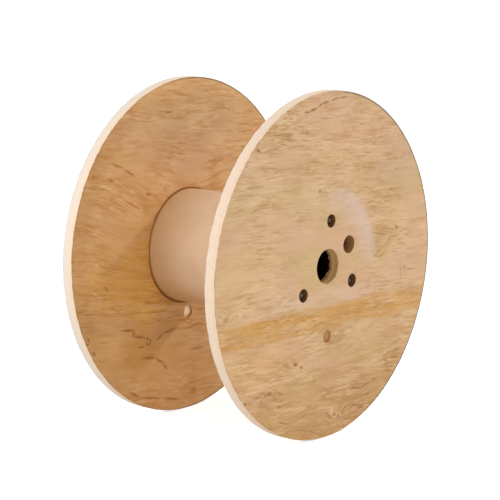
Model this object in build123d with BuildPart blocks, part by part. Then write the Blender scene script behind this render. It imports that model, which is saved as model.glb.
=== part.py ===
from build123d import *
import os

# Wooden cable drum: two plywood flanges clamped on a cardboard barrel tube by three tie bolts.
# Lengths are in millimetres. The drum's axis runs along X, +Z is up, and the origin lies on the
# floor under the middle of the drum, so the rims of both flanges touch Z = 0.

# Drum
flange_diameter = 500.0
overall_width = 280.0

# Plywood flange
flange_thickness = 18.0
rim_break = 0.8
arbor_diameter = 50.0

# Barrel tube, wound from kraft board, and the ring groove that holds each of its ends
tube_outer_diameter = 169.0
tube_wall = 5.0
groove_depth = 5.0
groove_outer_play = 1.5
groove_inner_play = 1.0

# Drive hole, where the winder's pin goes in, placed by how much nearer it is to the axis than
# the bolts are
drive_hole_diameter = 26.0
drive_hole_inset = 9.0
drive_hole_angle = 26.0

# Start hole, where the cable's inner end goes out through the flange beside the barrel
start_hole_diameter = 19.0
start_hole_gap = 8.0
start_hole_angle = -90.0

# Tie bolts, with their angles about the axis as they are drilled, from +Y towards +Z
bolt_angles = (83.0, -27.0, -149.0)
bolt_diameter = 8.0
bolt_hole_play = 0.5
bolt_tail = 1.6
bolt_end_chamfer = 1.0
hex_across_flats = 13.0
hex_crown_inset = 0.35
hex_crown_slope = 60.0
head_height = 5.3
thin_nut_height = 4.0
nut_thread_play = 0.1
washer_diameter = 16.0
washer_thickness = 1.6
washer_play = 0.2

# Recess in the outer face for each washer with its nut or head
recess_play = 1.5
recess_cover = 3.8
recess_to_groove_web = 4.0

# Sizes that follow
flange_radius = flange_diameter / 2
outer_face = overall_width / 2
inner_face = outer_face - flange_thickness
groove_floor = inner_face + groove_depth
tube_outer_radius = tube_outer_diameter / 2
tube_inner_radius = tube_outer_radius - tube_wall
groove_outer_radius = tube_outer_radius + groove_outer_play
groove_inner_radius = tube_inner_radius - groove_inner_play
bolt_hole_radius = bolt_diameter / 2 + bolt_hole_play
recess_radius = washer_diameter / 2 + recess_play
recess_depth = recess_cover + bolt_tail + thin_nut_height + washer_thickness
recess_floor = outer_face - recess_depth
bolt_circle_radius = groove_inner_radius - recess_to_groove_web - recess_radius
drive_circle_radius = bolt_circle_radius - drive_hole_inset
start_circle_radius = tube_outer_radius + start_hole_gap + start_hole_diameter / 2
washer_face = recess_floor + washer_thickness
hex_crown_radius = hex_across_flats / 2 - hex_crown_inset


def square_to_axis(station, circle_radius=0, angle=0):
    """Plane facing +X at a station along the drum, its centre on a circle about the drum's axis."""
    centre = Vector(circle_radius, 0).rotate(Axis.Z, angle)
    return Plane(
        origin=(station, centre.X, flange_radius + centre.Y),
        x_dir=(0, 1, 0),
        z_dir=(1, 0, 0),
    )


os.makedirs("parts", exist_ok=True)

# Right flange: a plywood disc with its rim edges broken, the ring groove for the tube turned into
# its inner face, and the arbor, drive, start and recessed bolt holes drilled from its outer face
with BuildPart() as flange_right:
    with BuildSketch(square_to_axis(inner_face)):
        Circle(flange_radius)
    extrude(amount=flange_thickness)
    chamfer(flange_right.edges().filter_by(GeomType.CIRCLE), length=rim_break)

    with BuildSketch(square_to_axis(inner_face)):
        Circle(groove_outer_radius)
        Circle(groove_inner_radius, mode=Mode.SUBTRACT)
    extrude(amount=groove_depth, mode=Mode.SUBTRACT)

    with Locations(square_to_axis(outer_face)):
        Hole(arbor_diameter / 2)
    with Locations(square_to_axis(outer_face, drive_circle_radius, drive_hole_angle)):
        Hole(drive_hole_diameter / 2)
    with Locations(square_to_axis(outer_face, start_circle_radius, start_hole_angle)):
        Hole(start_hole_diameter / 2)
    for angle in bolt_angles:
        with Locations(square_to_axis(outer_face, bolt_circle_radius, angle)):
            CounterBoreHole(bolt_hole_radius, recess_radius, recess_depth)

flange_right.part.label = "flange_right"
export_step(flange_right.part, "parts/flange_right.step")

# Left flange: drilled in one stack with the right one, so it is its mirror image
with BuildPart() as flange_left:
    mirror(flange_right.part, about=Plane.YZ)

flange_left.part.label = "flange_left"
export_step(flange_left.part, "parts/flange_left.step")

# Barrel tube: its ends stand on the floors of the two grooves
with BuildPart() as barrel_tube:
    with BuildSketch(square_to_axis(-groove_floor)):
        Circle(tube_outer_radius)
        Circle(tube_inner_radius, mode=Mode.SUBTRACT)
    extrude(amount=2 * groove_floor)

barrel_tube.part.label = "barrel_tube"
export_step(barrel_tube.part, "parts/barrel_tube.step")

# Tie bolts: each has its head in the left flange's recess and a thin nut in the right one's, both
# crowned on their outer side, with a washer under each
for number, angle in enumerate(bolt_angles, start=1):
    with BuildPart() as tie_bolt:
        head_seat = square_to_axis(-washer_face, bolt_circle_radius, angle)
        with BuildSketch(head_seat):
            RegularPolygon(hex_across_flats / 2, side_count=6, major_radius=False)
        extrude(amount=-head_height)
        with BuildSketch(head_seat.offset(-head_height)):
            Circle(hex_crown_radius)
        extrude(amount=head_height, taper=-hex_crown_slope, mode=Mode.INTERSECT)
        with BuildSketch(head_seat):
            Circle(bolt_diameter / 2)
        extrude(amount=2 * washer_face + thin_nut_height + bolt_tail)
        chamfer(
            tie_bolt.edges().filter_by(GeomType.CIRCLE).sort_by(Axis.X)[-1],
            length=bolt_end_chamfer,
        )

    tie_bolt.part.label = f"tie_bolt_{number}"
    export_step(tie_bolt.part, f"parts/tie_bolt_{number}.step")

    with BuildPart() as nut:
        nut_seat = square_to_axis(washer_face, bolt_circle_radius, angle)
        with BuildSketch(nut_seat):
            RegularPolygon(hex_across_flats / 2, side_count=6, major_radius=False)
        extrude(amount=thin_nut_height)
        with BuildSketch(nut_seat.offset(thin_nut_height)):
            Circle(hex_crown_radius)
        extrude(amount=-thin_nut_height, taper=-hex_crown_slope, mode=Mode.INTERSECT)
        with Locations(nut_seat.offset(thin_nut_height)):
            Hole(bolt_diameter / 2 + nut_thread_play)

    nut.part.label = f"nut_{number}"
    export_step(nut.part, f"parts/nut_{number}.step")

    for name, station in (("head_washer", -washer_face), ("nut_washer", recess_floor)):
        with BuildPart() as washer:
            with BuildSketch(square_to_axis(station, bolt_circle_radius, angle)):
                Circle(washer_diameter / 2)
                Circle(bolt_diameter / 2 + washer_play, mode=Mode.SUBTRACT)
            extrude(amount=washer_thickness)

        washer.part.label = f"{name}_{number}"
        export_step(washer.part, f"parts/{name}_{number}.step")
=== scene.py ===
"""Looks of the plywood cable drum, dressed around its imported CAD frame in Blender 4.5.

The drum's axis lies along X at the height of a flange's radius, +Z is up, and the outer face of
the right flange looks towards +X. A size whose name ends in _mm is in millimetres, an angle whose
name ends in _deg is in degrees, and Blender's own lengths are in metres.
"""

import logging
import math
from collections.abc import Callable, Iterable, Sequence
from dataclasses import dataclass, field
from enum import Enum

import bmesh
import bpy
import numpy as np
from bpy.types import Material, Node, NodeSocket, NodeTree, Object
from mathutils import Matrix, Vector
from mathutils import noise as smooth_noise
from mathutils.geometry import delaunay_2d_cdt


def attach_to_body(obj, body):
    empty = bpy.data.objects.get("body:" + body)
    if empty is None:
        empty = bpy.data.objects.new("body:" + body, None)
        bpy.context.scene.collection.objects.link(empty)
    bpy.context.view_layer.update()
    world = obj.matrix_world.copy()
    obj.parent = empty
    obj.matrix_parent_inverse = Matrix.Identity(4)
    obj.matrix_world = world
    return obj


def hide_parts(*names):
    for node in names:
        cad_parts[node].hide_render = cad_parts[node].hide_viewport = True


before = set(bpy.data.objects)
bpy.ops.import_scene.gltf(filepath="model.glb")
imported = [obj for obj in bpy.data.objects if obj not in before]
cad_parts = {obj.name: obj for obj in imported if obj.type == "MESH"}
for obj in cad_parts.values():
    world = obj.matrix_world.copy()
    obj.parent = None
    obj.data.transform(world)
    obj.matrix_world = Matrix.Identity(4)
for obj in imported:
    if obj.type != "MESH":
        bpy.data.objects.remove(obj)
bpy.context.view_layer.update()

log = logging.getLogger("cable_drum")

MM = 0.001
BODY = "root"
AXIS = (0.0, 0.0)

# A length in millimetres, or a function that gives it by the angle in radians about an axis
ByAngle = float | Callable[[float], float]
# Pairs of a place along an axis and a radius about it
Profile = Sequence[tuple[ByAngle, ByAngle]]
# What a node's inputs take, in their order or by their names
Feeds = Sequence[object] | dict[str, object]


class Slot(Enum):
    """The record's material slots."""

    PLYWOOD = "plywood"
    KRAFT_BOARD = "kraft_board"
    BRIGHT_STEEL = "bright_steel"


class FlangeSide(Enum):
    """The two flanges, by the direction in which their outer faces look along X."""

    RIGHT = 1
    LEFT = -1


class PlySurface(Enum):
    """The surfaces of a flange, in the order of its mesh's material slots."""

    OUTER_VENEER = 0
    INNER_VENEER = 1
    SAWN_RIM = 2
    BORED_WALL = 3
    ROUTED_GROOVE = 4
    BOLT_RECESS = 5
    SHADED_DRIVE_WALL = 6


class Join(Enum):
    """Ways to join soft spots into one mask, by Blender's names for them."""

    SUM = "ADD"
    LARGEST = "MAXIMUM"


class Rise(Enum):
    """Ways for a share to rise over a span, by Blender's names for them."""

    STRAIGHT = "LINEAR"
    SOFT = "SMOOTHSTEP"


@dataclass(frozen=True)
class DrumSizes:
    """The drum's own sizes, as the frame has them."""

    flange_radius_mm: float = 250.0
    outer_face_mm: float = 140.0
    board_mm: float = 18.0
    plies: int = 9
    arbor_radius_mm: float = 25.0
    drive_radius_mm: float = 13.0
    drive_circle_mm: float = 56.0
    drive_angle_deg: float = 26.0
    start_radius_mm: float = 9.5
    start_circle_mm: float = 102.0
    recess_radius_mm: float = 9.5
    recess_depth_mm: float = 11.0
    bolt_hole_radius_mm: float = 4.5
    bolt_circle_mm: float = 65.0
    bolt_angles_deg: tuple[float, ...] = (83.0, -27.0, -149.0)
    tube_radius_mm: float = 84.5
    tube_wall_mm: float = 5.0
    groove_outer_mm: float = 86.0
    groove_inner_mm: float = 78.5
    groove_depth_mm: float = 5.0

    def at(self, x_mm: float, y_mm: float, z_mm: float) -> Vector:
        """Point in the frame, in metres, from millimetres along and off the drum's axis."""
        return Vector((x_mm, y_mm, z_mm + self.flange_radius_mm)) * MM


SIZES = DrumSizes()


def linear(code: str) -> tuple[float, float, float, float]:
    """Turn an sRGB hex colour into the linear colour that a shader socket takes.

    Args:
        code: Six hex digits, red first.

    Returns:
        Linear red, green and blue, with an alpha of 1.
    """
    shares = (int(code[start : start + 2], 16) / 255 for start in (0, 2, 4))
    red, green, blue = (
        s / 12.92 if s <= 0.04045 else ((s + 0.055) / 1.055) ** 2.4 for s in shares
    )
    return red, green, blue, 1.0


def on_circle(radius: float, angle_deg: float) -> tuple[float, float]:
    """Y and Z of a point on a circle, its angle from +Y towards +Z.

    Args:
        radius: The circle's radius.
        angle_deg: The point's angle.

    Returns:
        The point's y and z, off the circle's centre.
    """
    turn = math.radians(angle_deg)
    return radius * math.cos(turn), radius * math.sin(turn)


def feed(tree: NodeTree, node: Node, feeds: Feeds) -> None:
    """Link or set a node's inputs.

    Args:
        tree: The tree that the node is in.
        node: The node.
        feeds: What its inputs take: a node, whose first output in use is linked, a socket, or a
            plain value.
    """
    for key, value in feeds.items() if isinstance(feeds, dict) else enumerate(feeds):
        if isinstance(key, str):
            socket = next(s for s in node.inputs if s.enabled and s.name == key)
        else:
            socket = node.inputs[key]
        if isinstance(value, Node):
            value = next(s for s in value.outputs if s.enabled)
        if isinstance(value, NodeSocket):
            tree.links.new(value, socket)
        else:
            socket.default_value = value


def add_node(tree: NodeTree, kind: str, feeds: Feeds = (), **settings: object) -> Node:
    """Add a shader node with its settings and links.

    Args:
        tree: The material's or world's node tree.
        kind: The node's type, without its ShaderNode prefix.
        feeds: What its inputs take, as feed() has them.
        **settings: Properties of the node.

    Returns:
        The new node.
    """
    node = tree.nodes.new("ShaderNode" + kind)
    for name, value in settings.items():
        setattr(node, name, value)
    feed(tree, node, feeds)
    return node


@dataclass
class Coat:
    """The colour of a finish in work: a first tone, and the others laid over it in turn."""

    tree: NodeTree
    tone: Node | tuple[float, ...]

    def lay(
        self,
        colour: str,
        source: Node | NodeSocket | float,
        span: tuple[float, float] | None = None,
        most: float = 1.0,
        strength: Node | None = None,
        rise: Rise = Rise.STRAIGHT,
    ) -> Node | NodeSocket | float:
        """Lay a colour over the tone.

        Args:
            colour: The colour, as sRGB hex digits.
            source: What rules the share of it that shows. Without a span it is that share.
            span: The source's values where it begins to show and where it shows most.
            most: The share that shows at the end of the span.
            strength: What the share is multiplied by.
            rise: How the share rises over the span.

        Returns:
            The share of the colour that shows.
        """
        share = source
        if span is not None:
            share = add_node(
                self.tree,
                "MapRange",
                (source, *span, 0.0, most),
                interpolation_type=rise.value,
            )
        if strength is not None:
            share = add_node(self.tree, "Math", (share, strength), operation="MULTIPLY")
        mixed = {"Factor": share, "A": self.tone, "B": linear(colour)}
        self.tone = add_node(self.tree, "Mix", mixed, data_type="RGBA")
        return share

    def away(self, value: Node, middle: float) -> Node:
        """Add the nodes that give how far a value is from a middle one."""
        off = add_node(self.tree, "Math", (value, middle), operation="SUBTRACT")
        return add_node(self.tree, "Math", (off,), operation="ABSOLUTE")


@dataclass
class Loop:
    """A closed ring of mesh points about a centre, as numbers of the mesh's points."""

    points: list[int]
    centre: tuple[float, float] = AXIS


@dataclass
class MeshPad:
    """Collects the points and faces of one piece, and makes them into an object.

    Its function along turns a place in a profile into a station along X, in millimetres.
    """

    along: Callable[[float], float] = float
    points: list[Vector] = field(default_factory=list)
    faces: list[tuple[int, ...]] = field(default_factory=list)
    slots: list[int] = field(default_factory=list)
    smooth: list[bool] = field(default_factory=list)

    def add(self, points: Iterable[Vector]) -> list[int]:
        """Add points and return their numbers."""
        first = len(self.points)
        self.points.extend(points)
        return list(range(first, len(self.points)))

    def face(self, corners: Sequence[int], slot: int, smooth: bool) -> None:
        """Add one face."""
        self.faces.append(tuple(corners))
        self.slots.append(slot)
        self.smooth.append(smooth)

    def rings(
        self, profile: Profile, segments: int, centre: tuple[float, float] = AXIS
    ) -> list[list[int]]:
        """Add a ring of points about an axis along X for each pair of a profile.

        Args:
            profile: Each ring's place along the axis and its radius, in millimetres.
            segments: How many points a ring has.
            centre: The axis's y and z, in millimetres from the drum's axis.

        Returns:
            The numbers of each ring's points.
        """
        made = []
        turns = [2 * math.pi * n / segments for n in range(segments)]
        for place, radius in profile:
            points = []
            for turn in turns:
                x = self.along(place(turn) if callable(place) else place)
                reach = radius(turn) if callable(radius) else radius
                y = centre[0] + reach * math.cos(turn)
                z = centre[1] + reach * math.sin(turn)
                points.append(SIZES.at(x, y, z))
            made.append(self.add(points))
        return made

    def skin(self, rings: Sequence[list[int]], slot: int = 0) -> None:
        """Join each ring to the next with a smooth band of four-sided faces.

        Args:
            rings: Closed rings of the same length, in order.
            slot: The faces' material slot.
        """
        for one, two in zip(rings, rings[1:]):
            for n in range(len(one)):
                m = (n + 1) % len(one)
                self.face((one[n], one[m], two[m], two[n]), slot, True)

    def fan(self, ring: list[int]) -> None:
        """Close a ring with triangles to its middle."""
        middle = sum((self.points[n] for n in ring), Vector((0, 0, 0))) / len(ring)
        hub = self.add([middle])[0]
        for n in range(len(ring)):
            self.face((ring[n], ring[(n + 1) % len(ring)], hub), 0, True)

    def _reach(self, loop: Loop, y: np.ndarray, z: np.ndarray) -> tuple[np.ndarray, np.ndarray]:
        """How far points are from a loop's centre, and how far the loop is in their directions.

        Args:
            loop: The loop, which any ray from its centre crosses once.
            y: The points' y, in metres.
            z: The points' z, in metres.

        Returns:
            The points' distances and the loop's radii in the same directions, in metres.
        """
        centre = SIZES.at(0, *loop.centre)
        edge = np.array([self.points[n] for n in loop.points])
        edge_y, edge_z = edge[:, 1] - centre.y, edge[:, 2] - centre.z
        turn = np.arctan2(edge_z, edge_y)
        order = np.argsort(turn)
        off_y, off_z = y - centre.y, z - centre.z
        towards = np.arctan2(off_z, off_y)
        radii = np.hypot(edge_y, edge_z)[order]
        return np.hypot(off_y, off_z), np.interp(towards, turn[order], radii, period=2 * math.pi)

    def _inside(
        self, loops: Sequence[Loop], y: np.ndarray, z: np.ndarray, margin: float = 0.0
    ) -> np.ndarray:
        """Which points lie inside a sheet's outer loop and outside its holes.

        Args:
            loops: The outer loop and then the holes.
            y: The points' y, in metres.
            z: The points' z, in metres.
            margin: How far they have to keep from each loop, in metres.

        Returns:
            True for each point that does.
        """
        away, edge = self._reach(loops[0], y, z)
        keep = away < edge - margin
        for hole in loops[1:]:
            away, edge = self._reach(hole, y, z)
            keep &= away > edge + margin
        return keep

    def sheet(self, loops: Sequence[Loop], spacing_mm: float, surface: PlySurface) -> None:
        """Fill the flat ground between an outer loop and its holes with triangles.

        Args:
            loops: The outer loop and then the holes.
            spacing_mm: Distance between the points that are added inside the sheet.
            surface: The surface that the sheet is part of.
        """
        numbers = [n for loop in loops for n in loop.points]
        edges, first = [], 0
        for loop in loops:
            count = len(loop.points)
            edges += [(first + n, first + (n + 1) % count) for n in range(count)]
            first += count
        step, radius = spacing_mm * MM, SIZES.flange_radius_mm * MM
        reach = np.arange(-radius, radius, step)
        y, z = (grid.ravel() for grid in np.meshgrid(reach, reach + radius))
        y = y + np.where(np.round(z / step) % 2 == 0, step / 2, 0)
        keep = self._inside(loops, y, z, step / 2)
        x = self.points[numbers[0]].x
        numbers += self.add(Vector((x, a, b)) for a, b in zip(y[keep], z[keep]))
        flat = [Vector((self.points[n].y, self.points[n].z)) for n in numbers]
        _, _, triangles, origins, _, _ = delaunay_2d_cdt(flat, edges, [], 0, 1e-7, True)
        names = [numbers[origin[0]] for origin in origins]
        corners = np.array([[names[c] for c in t] for t in triangles])
        middle = np.array([tuple(p) for p in self.points])[corners].mean(axis=1)
        for triangle in corners[self._inside(loops, middle[:, 1], middle[:, 2])]:
            self.face([int(n) for n in triangle], surface.value, False)

    def make(self, name: str, materials: Sequence[Material], crease_deg: float = 40.0) -> Object:
        """Make the object, with its faces turned outwards and its materials on.

        Args:
            name: The piece's name.
            materials: The materials, in the order of the slots.
            crease_deg: Edges that turn by more than this stay crisp.

        Returns:
            The new object, linked to the scene.
        """
        mesh = bpy.data.meshes.new(name)
        mesh.from_pydata(self.points, [], self.faces)
        for material in materials:
            mesh.materials.append(material)
        mesh.polygons.foreach_set("material_index", self.slots)
        mesh.polygons.foreach_set("use_smooth", self.smooth)
        mesh.set_sharp_from_angle(angle=math.radians(crease_deg))
        mesh.validate()
        work = bmesh.new()
        work.from_mesh(mesh)
        bmesh.ops.recalc_face_normals(work, faces=work.faces)
        work.to_mesh(mesh)
        work.free()
        made = bpy.data.objects.new(name, mesh)
        bpy.context.scene.collection.objects.link(made)
        return made


def attach(piece: Object, slot: Slot, *nodes: str) -> Object:
    """Let a piece ride on the drum in the place of its CAD nodes.

    Args:
        piece: The new piece, in place.
        slot: The record's material slot that its finish belongs to. It is not used.
        *nodes: The CAD nodes that it stands for.

    Returns:
        The same piece.
    """
    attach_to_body(piece, BODY)
    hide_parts(*nodes)
    return piece


@dataclass(frozen=True)
class Finish:
    """A surface finish, named for the real material and how its surface was made."""

    name: str

    def material(self) -> Material:
        """Make the material and feed its shader."""
        made = bpy.data.materials.new(self.name)
        made.use_nodes = True
        tree = made.node_tree
        feed(tree, tree.nodes["Principled BSDF"], self.paint(tree))
        return made

    def paint(self, tree: NodeTree) -> dict[str, object]:
        """Add the finish's nodes.

        Args:
            tree: The material's node tree.

        Returns:
            What the shader's inputs take, by their names.
        """
        raise NotImplementedError


@dataclass(frozen=True)
class Spot:
    """A soft-edged ellipse on a flange's face, in millimetres from the drum's axis.

    Its first half axis lies along y, turned by tilt_deg from +Y towards +Z, and its amount is
    full out to the share core of the way to its edge.
    """

    y: float
    z: float
    half_length: float
    half_height: float
    amount: float
    tilt_deg: float = 0.0
    core: float = 0.2


@dataclass(frozen=True)
class Tint:
    """Places on the veneer in another colour: mostly the wood's own, and some painted shade and
    painted light.
    """

    colour: str
    spots: tuple[Spot, ...]


@dataclass(frozen=True)
class ColourBand:
    """A band of differently coloured wood that runs across the face along the grain."""

    colour: str
    middle_z: float
    half_height: float
    slope: float
    amount: float


@dataclass(frozen=True)
class RingMark:
    """An arc about the drum's axis in a colour of its own: rubbed pale, gone dirty, and on the
    flanges' shaded edges and round the groove painted shade.

    It fades in between the two cosines of the angle from its middle.
    """

    colour: str
    radius: float
    half_width: float
    amount: float
    middle_deg: float = 0.0
    none_at: float = -3.0
    full_at: float = -2.0


@dataclass(frozen=True)
class FacePlace:
    """Nodes that give the place on a flange's face, in millimetres from the drum's axis.

    The wandering place strays a little, for marks that never run straight, and the y of the
    grain's place runs along the grain and its z across it.
    """

    plain: Node
    wandering: Node
    grain: Node


def strokes(*lines: Sequence[float | tuple[float, float]]) -> tuple[Spot, ...]:
    """Turn lines on the face into spots, one for each of their straight runs.

    Args:
        *lines: For each line half of its width in millimetres, how strong it is from 0 to 1, and
            its points as (y, z) in millimetres.

    Returns:
        The spots, each a little longer than its run.
    """
    spots = []
    for half_width, amount, *points in lines:
        for (y0, z0), (y1, z1) in zip(points, points[1:]):
            half_length = 0.75 * math.hypot(y1 - y0, z1 - z0)
            tilt = math.degrees(math.atan2(z1 - z0, y1 - y0))
            middle = ((y0 + y1) / 2, (z0 + z1) / 2)
            spots.append(Spot(*middle, half_length, half_width, amount, tilt))
    return tuple(spots)


@dataclass(frozen=True)
class SandedVeneer(Finish):
    """Plywood's face veneer, peeled from the log and sanded, with no coat on it.

    Peeling gives long wavy streaks along the grain, short dark vessel lines and loops round pin
    knots. Sanding leaves the face dull, so that its colour does nearly all the work.
    """

    seed: float = 0.0
    base: str = "D6AD84"
    rosy: str = "DCB191"
    olive: str = "CFAE79"
    early_wood: str = "E6C293"
    late_wood: str = "B5844C"
    vessel: str = "94642D"
    foot: str = "BB8C4A"
    knot: str = "90642E"
    slope_deg: float = -2.0
    contrast: float = 1.0
    fineness: float = 1.0
    dark_dashes: float = 0.36
    pale_dashes: float = 0.5
    foot_figure: float = 1.1
    swing_mm: float = 18.0
    swing_length_mm: float = 240.0
    swing_height_mm: float = 90.0
    stray_length_mm: float = 12.0
    bends: tuple[Spot, ...] = ()
    stirs: tuple[Spot, ...] = ()
    marks: tuple[Spot, ...] = ()
    tints: tuple[Tint, ...] = ()
    bands: tuple[ColourBand, ...] = ()
    rings: tuple[RingMark, ...] = ()

    def paint(self, tree: NodeTree) -> dict[str, object]:
        """Add the nodes of the veneer's colour, dullness and fine relief.

        Args:
            tree: The material's node tree.

        Returns:
            What the shader's inputs take, by their names.
        """
        place = self._place(tree)
        coat = Coat(tree, linear(self.base))
        self._ground(coat, place)
        self._places(coat, place)
        relief = self._figure(coat, place)
        coat.lay(self.knot, self._spots(tree, place.wandering, self.marks, Join.LARGEST))
        self._ringed(coat, place)
        sanding = {"Height": relief, "Strength": 0.25, "Distance": 0.15 * MM}
        return {
            "Base Color": coat.tone,
            "Normal": add_node(tree, "Bump", sanding),
            "Roughness": 0.62,
            "IOR": 1.5,
            "Specular IOR Level": 0.35,
        }

    def _place(self, tree: NodeTree) -> FacePlace:
        """Add the nodes that give the place on the face.

        Args:
            tree: The material's node tree.

        Returns:
            The plain place, the wandering one and the one along the grain.
        """
        metres = add_node(tree, "TexCoord").outputs["Object"]
        off = add_node(tree, "VectorMath", (metres, SIZES.at(0, 0, 0)), operation="SUBTRACT")
        face = add_node(tree, "VectorMath", (off, (0, 1 / MM, 1 / MM)), operation="MULTIPLY")
        # Marks stray by 1 or 2 mm every 12 mm
        finely = 1 / self.stray_length_mm
        stray = {"Vector": face, "Scale": finely, "Detail": 2.0, "W": self.seed}
        shift = add_node(tree, "TexNoise", stray, noise_dimensions="4D").outputs["Color"]
        centred = add_node(tree, "VectorMath", (shift, (0.5, 0.5, 0.5)), operation="SUBTRACT")
        sized = add_node(tree, "VectorMath", (centred, (0, 8, 4)), operation="MULTIPLY")
        wandering = add_node(tree, "VectorMath", (face, sized), operation="ADD")
        return FacePlace(face, wandering, self._grain(tree, face))

    def _grain(self, tree: NodeTree, face: Node) -> Node:
        """Add the nodes that give the place along and across the grain, bent round the knots.

        Args:
            tree: The material's node tree.
            face: The plain place on the face.

        Returns:
            The node whose y runs along the grain and whose z runs across it.
        """
        turned = {"Vector": face, "Angle": -math.radians(self.slope_deg)}
        along = add_node(tree, "VectorRotate", turned, rotation_type="X_AXIS")
        # The streaks swing by some millimetres over about 240 mm of length and 90 mm of height
        shares = (0, 1 / self.swing_length_mm, 1 / self.swing_height_mm)
        drawn = add_node(tree, "VectorMath", (along, shares), operation="MULTIPLY")
        slow = {"Vector": drawn, "W": self.seed + 3.1, "Scale": 1.0, "Detail": 0.6}
        swing = add_node(tree, "TexNoise", slow, noise_dimensions="4D")
        bend = self._spots(tree, face, self.bends, Join.SUM)
        lift = add_node(tree, "Math", (swing, self.swing_mm, bend), operation="MULTIPLY_ADD")
        raised = add_node(tree, "CombineXYZ", {"Z": lift})
        return add_node(tree, "VectorMath", (along, raised), operation="ADD")

    def _spots(
        self, tree: NodeTree, place: Node, spots: Sequence[Spot], join: Join
    ) -> Node | float:
        """Join soft-edged ellipses into one mask.

        Args:
            tree: The material's node tree.
            place: The place on the face that they are drawn at.
            spots: The ellipses.
            join: How two of them are joined.

        Returns:
            The node that gives the mask, or zero if there is no spot.
        """
        total: Node | float = 0.0
        for spot in spots:
            ellipse = {
                "Vector": place,
                "Location": (0, spot.y, spot.z),
                "Rotation": (math.radians(spot.tilt_deg), 0, 0),
                "Scale": (1, spot.half_length, spot.half_height),
            }
            local = add_node(tree, "Mapping", ellipse, vector_type="TEXTURE")
            away = add_node(tree, "VectorMath", (local,), operation="LENGTH")
            fading = (away, spot.core, 1.0, spot.amount, 0.0)
            mask = add_node(tree, "MapRange", fading, interpolation_type="SMOOTHSTEP")
            total = add_node(tree, "Math", (total, mask), operation=join.value)
        return total

    def _streak(
        self,
        coat: Coat,
        place: FacePlace,
        length: float,
        width: float,
        salt: float,
        detail: float = 2.0,
    ) -> Node:
        """Add noise that is drawn out along the grain.

        Args:
            coat: The colour in work.
            place: The place on the face.
            length: A streak's usual length in millimetres.
            width: Its usual width in millimetres.
            salt: A number that sets this noise apart from the others.
            detail: How many finer octaves the noise has.

        Returns:
            The noise node.
        """
        shares = (0, 1 / length, 1 / width)
        drawn = add_node(coat.tree, "VectorMath", (place.grain, shares), operation="MULTIPLY")
        feeds = {"Vector": drawn, "W": self.seed + salt, "Scale": 1.0, "Detail": detail}
        return add_node(coat.tree, "TexNoise", feeds, noise_dimensions="4D")

    def _ground(self, coat: Coat, place: FacePlace) -> None:
        """Lay the rosy and olive clouds of the wood, and the browner foot.

        Args:
            coat: The colour in work.
            place: The place on the face.
        """
        # Clouds of about 100 by 50 mm, as heartwood and sapwood alternate in a peeled sheet
        for colour, salt in ((self.rosy, 11.0), (self.olive, 23.0)):
            cloud = self._streak(coat, place, 100, 50, salt, detail=0.6)
            coat.lay(colour, cloud, (0.44, 0.64), 0.8)
        height = add_node(coat.tree, "SeparateXYZ", (place.wandering,)).outputs["Z"]
        coat.lay(self.foot, height, (-90.0, -245.0), 0.75, rise=Rise.SOFT)

    def _places(self, coat: Coat, place: FacePlace) -> None:
        """Lay the tinted places and the bands.

        Args:
            coat: The colour in work.
            place: The place on the face.
        """
        tree = coat.tree
        for tint in self.tints:
            coat.lay(tint.colour, self._spots(tree, place.wandering, tint.spots, Join.LARGEST))
        # The bands come and go in patches of about 40 by 9 mm
        patches = self._streak(coat, place, 40, 9, 35.0, detail=1.0)
        patchy = add_node(tree, "MapRange", (patches, 0.38, 0.60, 0.6, 1.0))
        # Their edges are soft over 5 mm, and ragged by about as much along the grain
        ragged = self._streak(coat, place, 60, 6, 31.0)
        swing, soft = 22.0, 2.5
        for band in self.bands:
            up = (0, -band.slope, 1)
            level = add_node(tree, "VectorMath", (place.wandering, up), operation="DOT_PRODUCT")
            edge = add_node(tree, "Math", (ragged, swing, level), operation="MULTIPLY_ADD")
            away = coat.away(edge, band.middle_z + swing / 2)
            span = (band.half_height + soft, band.half_height - soft)
            coat.lay(band.colour, away, span, band.amount, patchy)

    def _figure(self, coat: Coat, place: FacePlace) -> Node:
        """Lay the streaks and vessel lines along the grain.

        Args:
            coat: The colour in work.
            place: The place on the face.

        Returns:
            The node that gives the relief.
        """
        tree = coat.tree
        # The figure changes towards the foot, and comes and goes in clouds of about 70 by 30 mm
        height = add_node(tree, "SeparateXYZ", (place.plain,)).outputs["Z"]
        footing = add_node(tree, "MapRange", (height, -60.0, -200.0, 1.0, self.foot_figure))
        clouds = self._streak(coat, place, 70, 30, 37.0)
        lively = add_node(tree, "MapRange", (clouds, 0.36, 0.64, 0.4, 1.5))
        usual = add_node(tree, "Math", (footing, lively), operation="MULTIPLY")
        # Some places are calmer than others, and some livelier
        stirred = self._spots(tree, place.plain, self.stirs, Join.SUM)
        strength = add_node(tree, "Math", (stirred, usual, usual), operation="MULTIPLY_ADD")
        # Blotches of about 60 by 34 mm, growth bands of 70 by 11 mm and 34 by 4 mm, and vessel
        # lines, which are 0.2 mm wide and are drawn 1.8 mm wide, the least that shows
        for length, width, salt, dark, pale in (
            (60, 34, 43.0, 0.34, 0.26),
            (70, 11, 41.0, 0.36, 0.28),
            (34, 4.0, 53.0, 0.42, 0.34),
            (17, 1.8, 67.0, 0.30 * self.fineness, 0.26 * self.fineness),
        ):
            streak = self._streak(coat, place, length, width, salt)
            coat.lay(self.late_wood, streak, (0.50, 0.32), dark * self.contrast, strength)
            coat.lay(self.early_wood, streak, (0.52, 0.70), pale * self.contrast, strength)
        # Dashes of about 18 by 2.6 mm crowd in some places and are missing in others
        crowd = self._streak(coat, place, 50, 24, 83.0)
        for colour, salt, most in (
            (self.early_wood, 97.0, self.pale_dashes),
            (self.vessel, 79.0, self.dark_dashes),
        ):
            dash = self._streak(coat, place, 18, 2.6, salt)
            both = add_node(tree, "Math", (crowd, 0.55, dash), operation="MULTIPLY_ADD")
            pits = coat.lay(colour, both, (0.88, 1.0), most * self.contrast, strength)
        return add_node(tree, "Math", (streak, pits), operation="SUBTRACT")

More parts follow.
